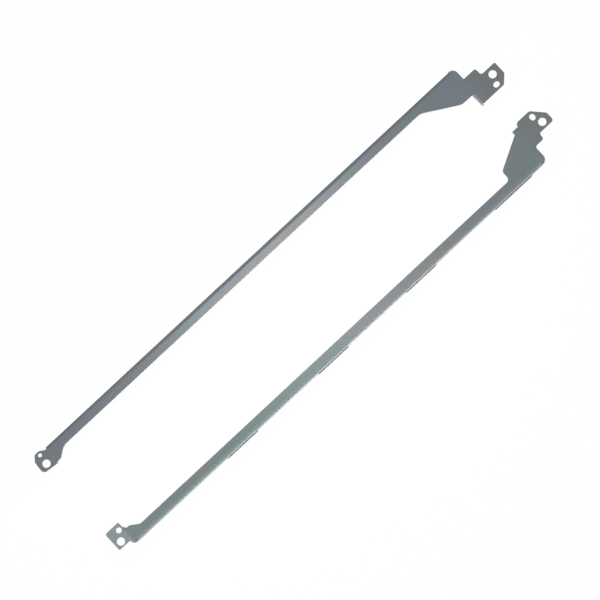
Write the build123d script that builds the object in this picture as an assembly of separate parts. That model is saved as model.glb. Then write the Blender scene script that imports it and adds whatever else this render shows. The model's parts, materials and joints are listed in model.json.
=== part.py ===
import os
from math import atan2, hypot, pi, tan

from build123d import *

# Pair of folded sheet steel rails that hold a laptop's screen at its two sides.
# All sizes are in millimetres. Each rail is drawn with x from its foot end to its hinge end,
# y inwards from the outer side of its flange, and z up from the surface that it lies on.

# Sheet and folds
sheet = 0.8  # thickness
bend_inside = 0.3  # inside radius of the lugs' folds and of the step
flange_inside = 0.8  # inside radius of the long fold

# The pair as it lies
pair_width = 45.55  # from one flange's outer side to the other's
stagger = 1.3  # right rail's foot end ahead of the left one's

# Rail section, the same on both
rail_length = 210.0  # foot end to hinge end
face_width = 3.85  # flange's outer side to the inner edge
lip_drop = 1.9  # face to the lip's lower edge
tab_drop = 5.2  # face to the lower edge of the screw tabs, which the rail lies on

# Screw tabs along the flange
tab_stations = (27.1, 70.4, 111.5, 154.2)  # centres, back from the hinge end
tab_length = 14.1
hinge_tab_length = 17.4  # the tab under the hinge plate
tab_corner = 1.0  # radius of its lower corners
lip_corner = 0.6  # radius at the lip's ends and the roots of the tabs
bar_corner = 2.2  # radius of the outer corner at the hinge end
flange_runout = 0.1  # from the flange's end to that corner
panel_hole = 2.2  # clearance for the panel's side screws
panel_hole_up = 2.1  # above the tab's lower edge

# Holes shared by the two rails
screw_hole = 2.9  # clearance for the lid screws
hinge_screw_back = 3.3  # from the hinge end
hinge_screw_in = 10.9  # from the flange
slot_back = 1.4  # locating slot, from the hinge screw
slot_in = 3.5
slot_long = 2.4
slot_wide = 1.95

# Step pressed across the foot
foot_drop = 0.6  # rail's face to the foot's face
step_run = 0.75  # length of the slope in plan
step_flat = 0.1  # flat left between the bends of the step and the next feature
step_turn = 1.8  # radius of the flat face where the step turns along the rail

# Left rail, foot: a rounded ear with a slanted end
left_foot_screw = (3.1, 4.35)
left_foot_pin = (3.4, 0.7)
left_foot_pin_hole = 1.4
left_foot_pin_wall = 1.35  # foot pin to the outer edge
left_foot_screw_wall = 1.85  # foot screw to the inner edge, at the end
left_foot_slant = 0.4  # the end edge leans back this far
left_foot_nose = (1.6, 2.1)  # slanted corner, along the rail and across it
left_foot_shoulder = 4.1  # the outer edge falls away to the relief from here
left_foot_flare = 0.7  # rise of the inner edge towards the step
left_foot_step = 6.2  # top of the step, from the foot end
left_foot_relief = 0.75  # depth of the relief beside the flange
left_flange_gap = 0.75  # top of the step to the flange
left_foot_neck = 2.1  # foot screw to the inner edge past the step
left_foot_taper = (8.1, 11.7)  # the inner edge narrows between these

# Left rail, hinge end, back from the hinge end and in from the flange
left_bar_end = 11.75
left_notch = (6.35, 5.35)
left_ear_wall = 2.55  # hinge screw to the ear's outer edge
left_ear_reach = 1.8  # slot to the ear's inner edge
left_ear_chamfer = 2.9
left_lug_back = 13.4  # outer side of the folded lug
left_plate_edge = 11.4
left_plate_full = 18.2  # the plate has its full width from here
left_plate_start = 30.8

# Right rail, foot: a square ear set inwards
right_foot_screw = (2.4, 3.95)
right_foot_pin = (4.5, 7.25)
right_foot_pin_hole = 2.05
right_foot_pin_wall = 2.2  # foot pin to the inner edge
right_foot_screw_wall = 1.9  # foot screw to the outer edge
right_foot_side = (6.15, 7.05)  # the ear's rail side, at its inner edge and at the plate
right_foot_step = 5.15  # top of the step, from the foot end
right_foot_step_in = 6.85  # where the step turns along the rail
right_foot_shoulder = 6.05  # plate's inner edge beside the ear
right_foot_taper = (8.2, 11.5)  # the inner edge narrows between these
right_plate_end = 4.95  # the plate's end beside the ear
right_flange_gap = 2.05  # from there to the flange

# Right rail, hinge end, back from the hinge end and in from the flange
right_bar_end = 10.9
right_notch = (6.8, 6.3)
right_ear_wall = 2.2  # hinge screw to the ear's outer edge
right_ear_reach = 2.3  # slot to the ear's inner edge
right_ear_bevel = (4.1, 4.5)  # slanted corner, along the inner edge and along the end
right_lug_in = 15.55  # outer side of the folded lug
right_lug_span = (10.7, 13.3)
right_lug_root = 0.4  # from the end of the plate's slope to the lug's bend
right_plate_slope = 0.54  # of the plate's inner edge
right_plate_start = 25.1

# Corner radii of the cut outline
radius_inner = 0.3
radius_small = 0.4
radius_medium = 0.95
radius_round = 1.5
radius_wide = 1.8
radius_sweep = 5.0
edge_share = 0.98  # most of an edge that its roundings may take up

bend_outside = bend_inside + sheet
flange_outside = flange_inside + sheet
face_top = tab_drop
half_slope = atan2(foot_drop, step_run) / 2  # half of the step's slope
step_lead = bend_outside * tan(half_slope) + step_flat  # length that a bend of the step takes up
step_corner = step_lead + step_turn
mid_length = rail_length / 2  # clear of both ends
beyond = 2 * rail_length  # past every edge, for cuts


def rounded_face(corners):
    """Flat face with straight edges between (x, y, radius) corners, each rounded to its radius."""
    radii = []
    for i, (x, y, radius) in enumerate(corners):
        x0, y0, radius0 = corners[i - 1]
        x1, y1, radius1 = corners[(i + 1) % len(corners)]
        turn = abs(atan2(y1 - y, x1 - x) - atan2(y - y0, x - x0))
        turn = min(turn, 2 * pi - turn)
        if radius:
            # An edge is shared between the roundings at its two ends.
            before = hypot(x - x0, y - y0) * radius / (radius + radius0)
            after = hypot(x1 - x, y1 - y) * radius / (radius + radius1)
            radius = min(radius, edge_share * min(before, after) / tan(turn / 2))
        radii.append(radius)
    points = [(x, y) for x, y, _ in corners]
    return make_face(FilletPolyline(*points, radius=radii, close=True).edges())


def plate(outline, top):
    """The sheet under a flat face at the height `top`."""
    return extrude(Pos(0, 0, top - sheet) * outline, sheet)


def fold(start, along, wall, inside):
    """Edge folded down: a bend that runs from `start` in the direction `along`, and its wall.

    The bend's outer side is on that line, and the flat sheet is to the left of it.
    The wall is an outline of (distance, height, radius) corners that reaches up to the bend."""
    outside = inside + sheet
    distances = [distance for distance, _, _ in wall]
    end_view = Plane(origin=start, x_dir=Vector(along).rotate(Axis.Z, 90), z_dir=along)
    side_view = Plane(origin=start, x_dir=along, z_dir=Vector(along).rotate(Axis.Z, -90))
    corner = Pos(-outside / 2, outside / 2) * Rectangle(outside, outside)
    quarter_ring = (Circle(outside) - Circle(inside)) & corner
    centre = Pos(outside, face_top - outside, min(distances))
    bend = extrude(end_view * centre * quarter_ring, max(distances) - min(distances))
    return bend + extrude(side_view * rounded_face(wall), -sheet)


def flange_wall(start, end):
    """Side outline of the long flange: a shallow lip with the screw tabs below it."""
    lip = face_top - lip_drop
    top = face_top - flange_outside
    corners = [(start, top, 0), (start, lip, lip_corner)]
    for station in reversed(tab_stations):
        centre = rail_length - station
        half = (hinge_tab_length if station == tab_stations[0] else tab_length) / 2
        corners.append((centre - half, lip, lip_corner))
        corners.append((centre - half, 0, tab_corner))
        corners.append((centre + half, 0, tab_corner))
        corners.append((centre + half, lip, lip_corner))
    return corners + [(end, lip, lip_corner), (end, top, 0)]


def lug_wall(start, end):
    """Side outline of a lug that stands on the same surface as the screw tabs."""
    top = face_top - bend_outside
    return [(start, top, 0), (start, 0, radius_small), (end, 0, radius_small), (end, top, 0)]


def inside_step(rim, turn_in, out):
    """Everything on the rail's side of the step, `out` beyond the top of its slope."""
    return rounded_face(
        [
            (rim - out, -beyond, 0),
            (rim - out, turn_in + out, step_corner + out),
            (mid_length, turn_in + out, 0),
            (mid_length, beyond, 0),
            (beyond, beyond, 0),
            (beyond, -beyond, 0),
        ]
    )


def stepped_plate(outline, rim, turn_in=beyond / 2):
    """Face plate with its foot pressed down across x = rim.

    At y = turn_in, where that is within the outline, the step turns to run along the rail."""
    low = face_top - foot_drop
    shift = sheet * tan(half_slope)
    section = rounded_face(
        [
            (-step_lead, face_top, 0),
            (0, face_top, bend_outside),
            (step_run, low, bend_inside),
            (step_run + step_lead, low, 0),
            (step_run + step_lead, low - sheet, 0),
            (step_run - shift, low - sheet, bend_outside),
            (-shift, face_top - sheet, bend_inside),
            (-step_lead, face_top - sheet, 0),
        ]
    )
    bend_line = [(rim, -beyond), (rim, turn_in), (mid_length, turn_in)]
    path = FilletPolyline(*bend_line, radius=step_corner)
    across = Plane(origin=(rim, -beyond, 0), x_dir=(-1, 0, 0), z_dir=(0, 1, 0))
    step = sweep(across * section, path=path) & extrude(outline, face_top)
    high_face = outline & inside_step(rim, turn_in, -step_lead)
    low_face = outline - inside_step(rim, turn_in, step_run + step_lead)
    return plate(high_face, face_top) + step + plate(low_face, low)


def upright_hole(x, y, diameter):
    return Pos(x, y, 0) * Cylinder(diameter / 2, beyond)


def panel_holes():
    """The panel's screw holes through the flange, one to a tab."""
    across = Rot(90, 0, 0) * Cylinder(panel_hole / 2, 4 * sheet)
    return [Pos(rail_length - station, 0, panel_hole_up) * across for station in tab_stations]


def hinge_holes(slot_turn):
    """Screw hole and locating slot of the hinge ear. The slot's length is turned by `slot_turn`."""
    x = rail_length - hinge_screw_back
    slot = Rot(0, 0, slot_turn) * SlotOverall(slot_long, slot_wide)
    slot_place = Pos(x - slot_back, hinge_screw_in + slot_in)
    return [upright_hole(x, hinge_screw_in, screw_hole), extrude(slot_place * slot, beyond)]


def left_rail():
    screw_x, screw_y = left_foot_screw
    pin_x, pin_y = left_foot_pin
    outer = pin_y - left_foot_pin_wall
    inner = screw_y + left_foot_screw_wall
    neck = screw_y + left_foot_neck
    nose_along, nose_across = left_foot_nose
    taper_start, taper_end = left_foot_taper
    flange_start = left_foot_step + left_flange_gap
    foot = [
        (flange_start, flange_outside, 0),
        (flange_start, 0, 0),
        (left_foot_step, left_foot_relief, radius_inner),
        (left_foot_shoulder, outer, radius_round),
        (left_foot_slant + nose_along, outer, radius_round),
        (left_foot_slant, outer + nose_across, radius_medium),
        (0, inner, radius_round),
        (left_foot_step, inner + left_foot_flare, radius_small),
        (left_foot_step + radius_small, neck, radius_inner),
        (taper_start, neck, radius_round),
        (taper_end, face_width, radius_sweep),
    ]
    end = rail_length
    notch_back, notch_in = left_notch
    ear_outer = hinge_screw_in - left_ear_wall
    ear_inner = hinge_screw_in + slot_in + left_ear_reach
    lug_fold = end - left_lug_back + bend_outside
    flange_end = end - left_bar_end - bar_corner - flange_runout
    hinge = [
        (end - left_plate_start, face_width, radius_sweep),
        (end - left_plate_full, left_plate_edge, radius_sweep),
        (lug_fold, left_plate_edge, 0),
        (lug_fold, ear_inner, 0),
        (end - left_ear_chamfer, ear_inner, radius_medium),
        (end, ear_inner - left_ear_chamfer, radius_medium),
        (end, ear_outer, radius_small),
        (end - notch_back, ear_outer, radius_medium),
        (end - notch_back, notch_in, radius_medium),
        (end - left_bar_end, notch_in, radius_inner),
        (end - left_bar_end, 0, bar_corner),
        (flange_end, 0, 0),
        (flange_end, flange_outside, 0),
    ]
    body = stepped_plate(rounded_face(foot + hinge), left_foot_step)
    body += fold((0, 0, 0), (1, 0, 0), flange_wall(flange_start, flange_end), flange_inside)
    lug = lug_wall(-ear_inner, -left_plate_edge)
    body += fold((end - left_lug_back, 0, 0), (0, -1, 0), lug, bend_inside)
    body -= [
        upright_hole(screw_x, screw_y, screw_hole),
        upright_hole(pin_x, pin_y, left_foot_pin_hole),
        *hinge_holes(0),
        *panel_holes(),
    ]
    return body


def right_rail():
    screw_x, screw_y = right_foot_screw
    pin_x, pin_y = right_foot_pin
    outer = screw_y - right_foot_screw_wall
    inner = pin_y + right_foot_pin_wall
    side_inner, side_plate = right_foot_side
    taper_start, taper_end = right_foot_taper
    flange_start = right_plate_end + right_flange_gap
    foot = [
        (flange_start, flange_outside, 0),
        (flange_start, 0, 0),
        (right_plate_end, 0, radius_wide),
        (right_plate_end, outer, radius_inner),
        (0, outer, radius_small),
        (0, inner, radius_medium),
        (side_inner, inner, radius_small),
        (side_inner, pin_y, radius_round),
        (side_plate, right_foot_shoulder, radius_small),
        (taper_start, right_foot_shoulder, radius_round),
        (taper_end, face_width, radius_wide),
    ]
    end = rail_length
    notch_back, notch_in = right_notch
    ear_outer = hinge_screw_in - right_ear_wall
    ear_inner = hinge_screw_in + slot_in + right_ear_reach
    bevel_along, bevel_across = right_ear_bevel
    lug_near, lug_far = right_lug_span
    lug_fold = right_lug_in - bend_outside
    flange_end = end - right_bar_end - bar_corner - flange_runout
    slope_end = lug_fold - right_lug_root
    slope_start = slope_end - (right_plate_start - lug_far) * right_plate_slope
    hinge = [
        (end - right_plate_start, face_width, radius_round),
        (end - right_plate_start, slope_start, radius_round),
        (end - lug_far, slope_end, 0),
        (end - lug_far, lug_fold, 0),
        (end - lug_near, lug_fold, 0),
        (end - lug_near, ear_inner, radius_round),
        (end - bevel_along, ear_inner, radius_round),
        (end, ear_inner - bevel_across, radius_wide),
        (end, ear_outer, radius_medium),
        (end - notch_back, ear_outer, radius_medium),
        (end - notch_back, notch_in, radius_medium),
        (end - right_bar_end, notch_in, radius_medium),
        (end - right_bar_end, 0, bar_corner),
        (flange_end, 0, 0),
        (flange_end, flange_outside, 0),
    ]
    body = stepped_plate(rounded_face(foot + hinge), right_foot_step, right_foot_step_in)
    body += fold((0, 0, 0), (1, 0, 0), flange_wall(flange_start, flange_end), flange_inside)
    body += fold((end, right_lug_in, 0), (-1, 0, 0), lug_wall(lug_near, lug_far), bend_inside)
    body -= [
        upright_hole(screw_x, screw_y, screw_hole),
        upright_hole(pin_x, pin_y, right_foot_pin_hole),
        *hinge_holes(90),
        *panel_holes(),
    ]
    return body


# The left rail's flange is on the far side (+Y) and the right one's on the near side, so that the
# hinge plates reach towards each other, and the pair's box is centred on the origin.
placed = {
    "left_rail": Pos(0, pair_width, 0) * mirror(left_rail(), about=Plane.XZ),
    "right_rail": Pos(stagger, 0, 0) * right_rail(),
}
box = Compound(list(placed.values())).bounding_box()
centred = Pos(-box.center().X, -box.center().Y, -box.min.Z)

os.makedirs("parts", exist_ok=True)
for name, rail in placed.items():
    solid = centred * rail
    solid.label = name
    export_step(solid, f"parts/{name}.step")
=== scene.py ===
import json
import math

import bmesh
import bpy
from mathutils import Matrix, Vector

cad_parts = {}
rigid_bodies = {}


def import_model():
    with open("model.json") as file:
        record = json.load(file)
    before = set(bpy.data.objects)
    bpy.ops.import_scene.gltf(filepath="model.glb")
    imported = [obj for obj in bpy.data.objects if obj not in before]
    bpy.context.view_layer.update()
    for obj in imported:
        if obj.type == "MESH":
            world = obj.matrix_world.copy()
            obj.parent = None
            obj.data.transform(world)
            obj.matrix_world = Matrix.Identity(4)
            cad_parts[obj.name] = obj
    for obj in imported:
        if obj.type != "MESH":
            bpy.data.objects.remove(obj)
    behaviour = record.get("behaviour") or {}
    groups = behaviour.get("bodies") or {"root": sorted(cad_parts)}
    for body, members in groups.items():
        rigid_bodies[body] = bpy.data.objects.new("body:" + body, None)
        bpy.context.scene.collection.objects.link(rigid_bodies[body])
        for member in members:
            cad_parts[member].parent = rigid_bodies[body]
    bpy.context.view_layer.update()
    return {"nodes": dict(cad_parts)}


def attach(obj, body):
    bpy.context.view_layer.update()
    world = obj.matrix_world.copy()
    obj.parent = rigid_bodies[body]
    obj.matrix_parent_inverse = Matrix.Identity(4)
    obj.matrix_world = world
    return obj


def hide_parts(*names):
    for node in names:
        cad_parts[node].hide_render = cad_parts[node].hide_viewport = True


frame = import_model()
mm = 0.001
print("loaded rails:", ", ".join(sorted(frame["nodes"])))


# wraps one socket, so shader maths can be written as plain expressions
class Wire:
    def __init__(self, socket):
        self.socket = socket
        self.graph = Graph(socket.id_data)

    def maths(self, operation, first, second):
        return self.graph.node("ShaderNodeMath", {"operation": operation}, {0: first, 1: second})

    def __add__(self, other):
        return self.maths("ADD", self, other)

    def __radd__(self, other):
        return self.maths("ADD", other, self)

    def __sub__(self, other):
        return self.maths("SUBTRACT", self, other)

    def __rsub__(self, other):
        return self.maths("SUBTRACT", other, self)

    def __mul__(self, other):
        return self.maths("MULTIPLY", self, other)

    def __rmul__(self, other):
        return self.maths("MULTIPLY", other, self)


# one node tree, with one method for every kind of node
class Graph:
    def __init__(self, tree):
        self.tree = tree

    def node(self, kind, settings=None, inputs=None, output=0):
        made = self.tree.nodes.new(kind)
        for key, value in (settings or {}).items():
            setattr(made, key, value)
        for key, value in (inputs or {}).items():
            if isinstance(value, Wire):
                self.tree.links.new(value.socket, made.inputs[key])
            else:
                made.inputs[key].default_value = value
        return Wire(made.outputs[output]) if made.outputs else None

    def colourMix(self, factor, first, second):
        inputs = {"Factor": factor, 6: first, 7: second}
        return self.node("ShaderNodeMix", {"data_type": "RGBA"}, inputs, 2)

    def range(self, value, low, high, toLow=0.0, toHigh=1.0):
        inputs = {"Value": value, "From Min": low, "From Max": high, "To Min": toLow, "To Max": toHigh}
        return self.node("ShaderNodeMapRange", None, inputs)

    def noise(self, place, size, stretch=(1, 1, 1), turn=0.0, detail=2.0):
        turned = self.node("ShaderNodeMapping", None, {
            "Vector": place, "Rotation": (0, 0, math.radians(turn)), "Scale": stretch})
        inputs = {"Vector": turned, "Scale": 1 / size, "Detail": detail}
        return self.node("ShaderNodeTexNoise", None, inputs)


noiseMean = 0.5


# adds up layers, each by its own weight
def weighted(weights, layers):
    return sum(weight * layers[name] for name, weight in weights.items())


def newFinish(name):
    finish = bpy.data.materials.new(name)
    finish.use_nodes = True
    finish.node_tree.nodes.clear()
    return finish, Graph(finish.node_tree)


# zinc-plated sheet
zinc = {
    "teal": (0.283, 0.350, 0.350, 1),
    "slate": (0.300, 0.338, 0.385, 1),
    "grey": (0.335, 0.345, 0.352, 1),
    "pale": (0.400, 0.425, 0.435, 1),
    "pit": (0.16, 0.17, 0.17, 1),
    "patches": {"size": 16 * mm, "stretch": (0.6, 1, 1)},
    "stains": {"size": 22 * mm, "stretch": (0.7, 1, 1)},
    "clouds": {"size": 45 * mm, "stretch": (0.6, 1, 1)},
    "grain": {"size": 0.5 * mm, "stretch": (0.05, 1, 1), "detail": 3.0},      # rolling lines, along the rail
    "crystals": {"size": 0.22 * mm, "detail": 1.0},
    "specks": {"size": 0.4 * mm, "detail": 1.0},
    "scratches": {"width": 0.22 * mm, "length": 7 * mm, "turns": (24.0, -13.0), "detail": 1.0},
    # levels of the noise between which each of these comes in
    "slateFrom": (0.40, 0.60),
    "greyFrom": (0.50, 0.68),
    "cloudsFrom": (0.35, 0.70),
    "rubbedFrom": (0.42, 0.62),
    "scratchesFrom": (0.68, 0.74),
    "specksFrom": (0.66, 0.74),
    # weights of the layers
    "paling": {"clouds": 0.3, "scratches": 0.5, "grain": 0.3, "crystals": 0.3},
    "dulling": {"patches": 0.4, "grain": 0.3, "crystals": 0.3, "scratches": -0.2},
    "relief": {"grain": 0.5, "crystals": 0.5, "scratches": -0.6, "specks": -0.5},
    "pitShare": 0.3,
    "dullingSpread": 0.15,
    "roughness": (0.36, 0.46),
    "bump": {"strength": 0.4, "depth": 0.004 * mm},
    "batch": {"across": 10 * mm, "shift": 0.07},      # left rail more slate, right rail more teal
    "greyUpTo": (68 * mm, 82 * mm),      # the bars, not the hinge plates
    # painted light: the right rail's foot is tinted paler in place of the brighter light it catches, fully
    # on the ear and fading past the step
    "paintedLightFoot": {"ear": -99.0 * mm, "step": -98.0 * mm, "fadesBy": -30 * mm, "beyondStep": 0.42,
                  "across": 1 * mm, "tint": (0.470, 0.560, 0.552, 1)},      # on the right rail
    # painted shade: the hinge ends, from 92 mm on, are tinted darker in place of the light falling off there
    "paintedShadeHingeEnds": {"from": 92 * mm, "to": 96 * mm, "share": 0.85, "tint": (0.278, 0.302, 0.312, 1)},
}


def zincSheet():
    finish, graph = newFinish("zincSheet")
    place = graph.node("ShaderNodeTexCoord", output="Object")
    patches = graph.noise(place, **zinc["patches"])
    stains = graph.noise(place, **zinc["stains"])
    clouds = graph.noise(place, **zinc["clouds"])
    grain = graph.noise(place, **zinc["grain"])
    crystals = graph.noise(place, **zinc["crystals"])
    specks = graph.range(graph.noise(place, **zinc["specks"]), *zinc["specksFrom"])
    rubbed = graph.range(patches, *zinc["rubbedFrom"])
    scratches = zinc["scratches"]
    slender = (scratches["width"] / scratches["length"], 1, 1)
    worn = 0.0
    for turn in scratches["turns"]:
        lines = graph.noise(place, scratches["width"], slender, turn, scratches["detail"])
        worn = worn + graph.range(lines, *zinc["scratchesFrom"]) * rubbed
    layers = {"patches": patches - noiseMean, "grain": grain - noiseMean, "crystals": crystals - noiseMean,
              "clouds": graph.range(clouds, *zinc["cloudsFrom"]), "scratches": worn, "specks": specks}

    along = graph.node("ShaderNodeSeparateXYZ", None, {"Vector": place}, "X")
    across = graph.node("ShaderNodeSeparateXYZ", None, {"Vector": place}, "Y")
    batch = zinc["batch"]
    shift = graph.range(across, -batch["across"], batch["across"], -batch["shift"], batch["shift"])
    tint = graph.colourMix(graph.range(patches + shift, *zinc["slateFrom"]), zinc["teal"], zinc["slate"])
    onBars = graph.range(along, *zinc["greyUpTo"], 1.0, 0.0)
    tint = graph.colourMix(graph.range(stains, *zinc["greyFrom"]) * onBars, tint, zinc["grey"])
    # painted light: a paler tint over the right rail's foot
    foot = zinc["paintedLightFoot"]
    onRight = graph.range(across, -foot["across"], foot["across"], 1.0, 0.0)
    onEar = graph.range(along, foot["ear"], foot["step"], 1 - foot["beyondStep"], 0.0)
    pastStep = graph.range(along, foot["step"], foot["fadesBy"], foot["beyondStep"], 0.0)
    tint = graph.colourMix((onEar + pastStep) * onRight, tint, foot["tint"])
    # painted shade: a darker tint over the hinge ends
    ends = zinc["paintedShadeHingeEnds"]
    onEnds = graph.range(along, ends["from"], ends["to"], 0.0, ends["share"])
    tint = graph.colourMix(onEnds, tint, ends["tint"])
    colour = graph.colourMix(weighted(zinc["paling"], layers), tint, zinc["pale"])
    colour = graph.colourMix(zinc["pitShare"] * specks, colour, zinc["pit"])

    spread = zinc["dullingSpread"]
    rough = graph.range(weighted(zinc["dulling"], layers), -spread, spread, *zinc["roughness"])
    bump = zinc["bump"]
    normal = graph.node("ShaderNodeBump", None, {
        "Strength": bump["strength"], "Distance": bump["depth"], "Height": weighted(zinc["relief"], layers)})
    shader = graph.node("ShaderNodeBsdfPrincipled", None, {
        "Base Color": colour, "Metallic": 1.0, "Roughness": rough, "Normal": normal})
    graph.node("ShaderNodeOutputMaterial", None, {"Surface": shader})
    return finish


# corners that the press and the handling have rounded and rubbed
rim = {
    "rubbed": (0.47, 0.48, 0.48, 1),
    "dull": (0.35, 0.365, 0.365, 1),
    "wear": {"size": 3.0 * mm, "detail": 4.0},
    "wearFrom": (0.40, 0.65),
    "roughness": (0.26, 0.40),
}


def rubbedRim():
    finish, graph = newFinish("rubbedRim")
    place = graph.node("ShaderNodeTexCoord", output="Object")
    wear = graph.range(graph.noise(place, **rim["wear"]), *rim["wearFrom"])
    colour = graph.colourMix(wear, rim["dull"], rim["rubbed"])
    smooth, dull = rim["roughness"]
    shader = graph.node("ShaderNodeBsdfPrincipled", None, {
        "Base Color": colour, "Metallic": 1.0, "Roughness": graph.range(wear, 0.0, 1.0, dull, smooth)})
    graph.node("ShaderNodeOutputMaterial", None, {"Surface": shader})
    return finish


# bare steel where the sheet was sheared
shear = {
    "burnished": (0.37, 0.37, 0.365, 1),
    "torn": (0.215, 0.213, 0.21, 1),
    "tornFrom": 0.42,         # share of the thickness that the punch cuts cleanly
    "tornFade": 0.06,         # softness of that line
    "streaks": {"size": 0.16 * mm, "stretch": (1, 1, 0.25)},
    "patches": {"size": 1.1 * mm, "detail": 3.0},
    "waver": {"patches": 0.35, "streaks": 0.25},      # unevenness of that line
    "roughness": (0.30, 0.60),
    "bump": {"strength": 0.5, "depth": 0.012 * mm},
}


def shearedEdge():
    finish, graph = newFinish("shearedEdge")
    place = graph.node("ShaderNodeTexCoord", output="Object")
    streaks = graph.noise(place, **shear["streaks"])
    patches = graph.noise(place, **shear["patches"])
    depth = graph.node("ShaderNodeAttribute", {"attribute_name": "depth"}, output="Fac")
    layers = {"patches": patches - noiseMean, "streaks": streaks - noiseMean}
    line = depth + weighted(shear["waver"], layers)
    torn = graph.range(line, shear["tornFrom"] - shear["tornFade"], shear["tornFrom"] + shear["tornFade"])
    colour = graph.colourMix(torn, shear["burnished"], shear["torn"])
    rough = graph.range(torn, 0.0, 1.0, *shear["roughness"])
    bump = shear["bump"]
    normal = graph.node("ShaderNodeBump", None, {
        "Strength": bump["strength"], "Distance": bump["depth"], "Height": streaks})
    shader = graph.node("ShaderNodeBsdfPrincipled", None, {
        "Base Color": colour, "Metallic": 1.0, "Roughness": rough, "Normal": normal})
    graph.node("ShaderNodeOutputMaterial", None, {"Surface": shader})
    return finish


finishes = [zincSheet(), rubbedRim(), shearedEdge()]
sheetSlot, rimSlot, edgeSlot = range(len(finishes))
print("finishes made:", ", ".join(finish.name for finish in finishes))


def selectOnly(piece):
    bpy.ops.object.select_all(action="DESELECT")
    piece.select_set(True)
    bpy.context.view_layer.objects.active = piece


# the two folded rails
rails = {
    "pieces": {"leftRail": "left_rail", "rightRail": "right_rail"},
    "weld": 0.002 * mm,
    "flatWithin": 0.5,        # degrees, flatter neighbours become one face
    "sharpFrom": 35.0,        # degrees, edges of the sheet
    "rimRound": 0.05 * mm,
    "rimSteps": 2,
    "smoothTo": 50.0,         # degrees, takes in the rounded rims
    "narrowCorner": 30.0,     # degrees
    "foldEnd": 0.8 * mm * mm,  # largest face left beside the end of a bend
    "foldEndPoints": 6,
    "level": 0.999,           # least upward share of a flat face's normal
    "upright": 0.01,          # largest upward share of an upright face's normal
}


# picks the widest flat face that looks up or down, and with it that whole side of the sheet
def selectSide(piece, up):
    bpy.ops.object.mode_set(mode="OBJECT")
    level = [face for face in piece.data.polygons if face.normal.z * up > rails["level"]]
    widest = max(level, key=lambda face: face.area)
    for face in piece.data.polygons:
        face.select = face.index == widest.index
    bpy.ops.object.mode_set(mode="EDIT")
    bpy.ops.mesh.select_linked(delimit={"SHARP"})


# keeps the rim to outward edges, and off the bends' ends, where the sheet's edge runs out to nothing
def leaveFoldEnds(piece):
    narrow = math.radians(rails["narrowCorner"])
    sheetMesh = bmesh.from_edit_mesh(piece.data)
    for face in sheetMesh.faces:
        upright = abs(face.normal.z) < rails["upright"]
        small = face.calc_area() < rails["foldEnd"]
        foldEnd = upright and small and len(face.verts) > rails["foldEndPoints"]
        for corner in face.loops:
            if foldEnd or not corner.edge.is_convex:
                corner.edge.select_set(False)
            if corner.calc_angle() < narrow:
                corner.edge.select_set(False)
                corner.link_loop_prev.edge.select_set(False)
    sheetMesh.select_flush_mode()
    bmesh.update_edit_mesh(piece.data)


def makeRail(name, node):
    rail = bpy.data.objects.new(name, frame["nodes"][node].data.copy())
    rail.data.name = name
    bpy.context.scene.collection.objects.link(rail)
    rail.data.materials.clear()
    for finish in finishes:
        rail.data.materials.append(finish)
    selectOnly(rail)
    bpy.ops.mesh.customdata_custom_splitnormals_clear()
    bpy.ops.object.mode_set(mode="EDIT")
    bpy.ops.mesh.select_mode(type="FACE")
    bpy.ops.mesh.select_all(action="SELECT")
    bpy.ops.mesh.remove_doubles(threshold=rails["weld"])
    bpy.ops.mesh.dissolve_limited(angle_limit=math.radians(rails["flatWithin"]))
    sharpFrom = math.radians(rails["sharpFrom"])
    bpy.ops.mesh.select_mode(type="EDGE")
    bpy.ops.mesh.select_all(action="DESELECT")
    bpy.ops.mesh.edges_select_sharp(sharpness=sharpFrom)
    bpy.ops.mesh.mark_sharp()

    # what is neither the outer nor the inner side was cut by the shear
    bpy.ops.mesh.select_mode(type="FACE")
    bpy.ops.mesh.select_all(action="SELECT")
    rail.active_material_index = edgeSlot
    bpy.ops.object.material_slot_assign()
    rail.active_material_index = sheetSlot
    rail.data.attributes.new("depth", "FLOAT", "POINT")
    for up, depth in ((1, 0.0), (-1, 1.0)):
        selectSide(rail, up)
        bpy.ops.object.material_slot_assign()
        bpy.ops.object.mode_set(mode="OBJECT")
        corners = {corner for face in rail.data.polygons if face.select for corner in face.vertices}
        for corner in corners:
            rail.data.attributes["depth"].data[corner].value = depth
        bpy.ops.object.mode_set(mode="EDIT")

    bpy.ops.mesh.select_mode(type="EDGE")
    bpy.ops.mesh.select_all(action="DESELECT")
    bpy.ops.mesh.edges_select_sharp(sharpness=sharpFrom)
    bpy.ops.mesh.mark_sharp(clear=True)
    leaveFoldEnds(rail)
    bpy.ops.mesh.bevel(offset=rails["rimRound"], segments=rails["rimSteps"], affect="EDGES",
                       clamp_overlap=False, material=rimSlot)
    bpy.ops.mesh.select_all(action="SELECT")
    bpy.ops.mesh.dissolve_degenerate(threshold=rails["weld"])
    bpy.ops.object.mode_set(mode="OBJECT")
    bpy.ops.object.shade_smooth_by_angle(angle=math.radians(rails["smoothTo"]))

    # flat faces stay flat up to their rims
    evened = rail.modifiers.new("evenedFaces", "WEIGHTED_NORMAL")
    evened.keep_sharp = True
    bpy.ops.object.modifier_apply(modifier=evened.name)
    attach(rail, "root")
    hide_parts(node)
    print(name, "faces:", len(rail.data.polygons))


for name, node in rails["pieces"].items():
    makeRail(name, node)


# pale table, with painted shade on its far side that shows in the metal's reflections
table = {
    "size": 8.0,
    "below": 0.02 * mm,
    "lit": (0.9, 0.9, 0.9, 1),
    "shaded": (0.15, 0.15, 0.15, 1),
    "shadeFrom": 14 * mm,
    "shadeTo": 22 * mm,
    "showWhite": 0.99,
    "mirrorWhite": 0.05,
}


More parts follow.
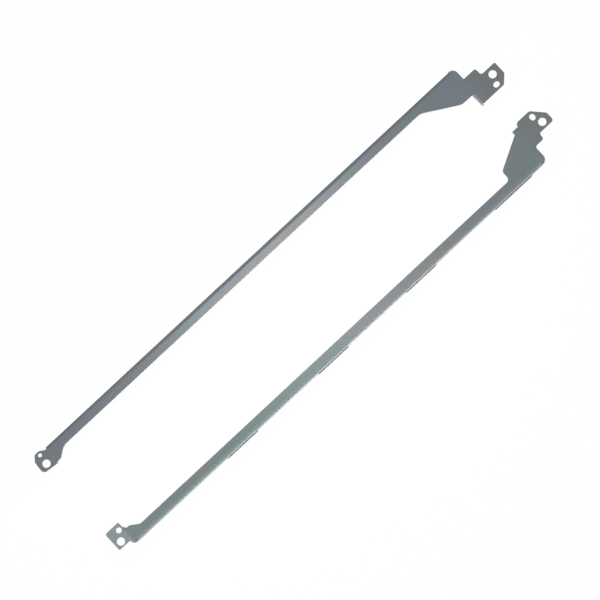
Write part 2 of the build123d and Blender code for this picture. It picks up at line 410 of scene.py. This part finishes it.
def makeTable():
    bpy.ops.mesh.primitive_plane_add(size=table["size"], location=(0, 0, -table["below"]))
    top = bpy.context.object
    top.name = "table"
    finish, graph = newFinish("paleTable")
    seen = graph.node("ShaderNodeLightPath", output="Is Camera Ray")
    mirrored = graph.node("ShaderNodeLightPath", output="Is Glossy Ray")
    through = graph.node("ShaderNodeLightPath", output="Is Transmission Ray")
    place = graph.node("ShaderNodeTexCoord", output="Object")
    across = graph.node("ShaderNodeSeparateXYZ", None, {"Vector": place}, "Y")
    # painted shade: the table's colour darkens from shadeFrom to shadeTo towards its far side, in place of
    # the rails' shadow there
    shade = graph.range(across, table["shadeFrom"], table["shadeTo"])
    colour = graph.colourMix(shade, table["lit"], table["shaded"])
    matt = graph.node("ShaderNodeBsdfDiffuse", None, {"Color": colour})
    white = graph.node("ShaderNodeEmission", None, {"Color": (1, 1, 1, 1), "Strength": 1.0})
    share = table["showWhite"] * seen + table["mirrorWhite"] * (mirrored + through)
    shader = graph.node("ShaderNodeMixShader", None, {0: share, 1: matt, 2: white})
    graph.node("ShaderNodeOutputMaterial", None, {"Surface": shader})
    top.data.materials.append(finish)


makeTable()
print("table made")


# camera above the pair, turned so that the rails run from the lower left to the upper right
shot = {
    "centre": Vector((-0.40, -0.28, 5.2)) * mm,
    "rightwards": Vector((0.7301, -0.6833, 0)),
    "leansTo": Vector((0, -1, 0)),
    "lean": 6.3,              # degrees off straight down
    "frameWidth": 206.3 * mm,
    "lens": 800.0,
    "seesTo": 20.0,
}


def makeCamera():
    lean = math.radians(shot["lean"])
    back = shot["leansTo"] * math.sin(lean) + Vector((0, 0, math.cos(lean)))
    right = (shot["rightwards"] - back * shot["rightwards"].dot(back)).normalized()
    up = back.cross(right)
    bpy.ops.object.camera_add()
    camera = bpy.context.object
    camera.name = "camera"
    camera.data.lens = shot["lens"]
    distance = shot["frameWidth"] * shot["lens"] / camera.data.sensor_width
    turn = Matrix((right, up, back)).transposed().to_4x4()
    camera.matrix_world = Matrix.Translation(shot["centre"] + back * distance) @ turn
    camera.data.clip_end = shot["seesTo"]
    bpy.context.scene.camera = camera


makeCamera()
print("camera set")


# soft studio light
studio = {
    "sky": (0.51, 0.64),      # on the far side and on the near side
    "brightSide": Vector((-0.68, -0.73, 0)),
    "rise": (-0.1, 0.75),     # where the sky starts and ends to brighten towards that side
    "tableShade": 0.5,        # share of the sky that the table does without
    "lamps": {
        "overLeft": {"at": (0, 0.038, 0.11), "to": (0, 0.038, 0), "size": (0.072, 0.056), "power": 0.0132},
        "overRight": {"at": (-0.003, -0.028, 0.11), "to": (-0.003, -0.028, 0), "size": (0.075, 0.07),
                      "power": 0.0066},
        "nearSide": {"at": (-0.01, -0.12, 0.11), "to": (-0.01, -0.02, 0), "size": (0.09, 0.09),
                     "power": 0.016},
        "onTable": {"at": (-0.005, 0.05, 0.11), "to": (-0.005, -0.02, 0), "size": (0.12, 0.03),
                    "power": 0.54},
    },
    "tableLamp": "onTable",   # lights the table alone, and the others show in the metal alone
}


def makeLamps():
    for name, lamp in studio["lamps"].items():
        at = Vector(lamp["at"])
        bpy.ops.object.light_add(type="AREA", location=at)
        light = bpy.context.object
        light.name = name
        light.rotation_mode = "QUATERNION"
        light.rotation_quaternion = (Vector(lamp["to"]) - at).to_track_quat("-Z", "Y")
        light.data.shape = "RECTANGLE"
        light.data.size, light.data.size_y = lamp["size"]
        light.data.energy = lamp["power"]
        light.visible_camera = False
        light.visible_glossy = name != studio["tableLamp"]
        light.visible_diffuse = name == studio["tableLamp"]


def makeSky():
    world = bpy.data.worlds.new("studio")
    world.use_nodes = True
    world.node_tree.nodes.clear()
    bpy.context.scene.world = world
    graph = Graph(world.node_tree)
    towards = graph.node("ShaderNodeTexCoord", output="Generated")
    side = graph.node("ShaderNodeVectorMath", {"operation": "DOT_PRODUCT"}, {
        0: towards, 1: studio["brightSide"]}, "Value")
    dim, bright = studio["sky"]
    rise = graph.range(side, *studio["rise"])
    level = dim + (bright - dim) * rise * (2 - rise)      # fast at first, then levelling out
    seen = graph.node("ShaderNodeLightPath", output="Is Camera Ray")
    matt = graph.node("ShaderNodeLightPath", output="Is Diffuse Ray")
    strength = seen + (1 - seen) * level * (1 - studio["tableShade"] * matt)
    sky = graph.node("ShaderNodeBackground", None, {"Color": (1, 1, 1, 1), "Strength": strength})
    graph.node("ShaderNodeOutputWorld", None, {"Surface": sky})


makeLamps()
makeSky()
bpy.context.scene.view_settings.view_transform = "Standard"
print("light set")
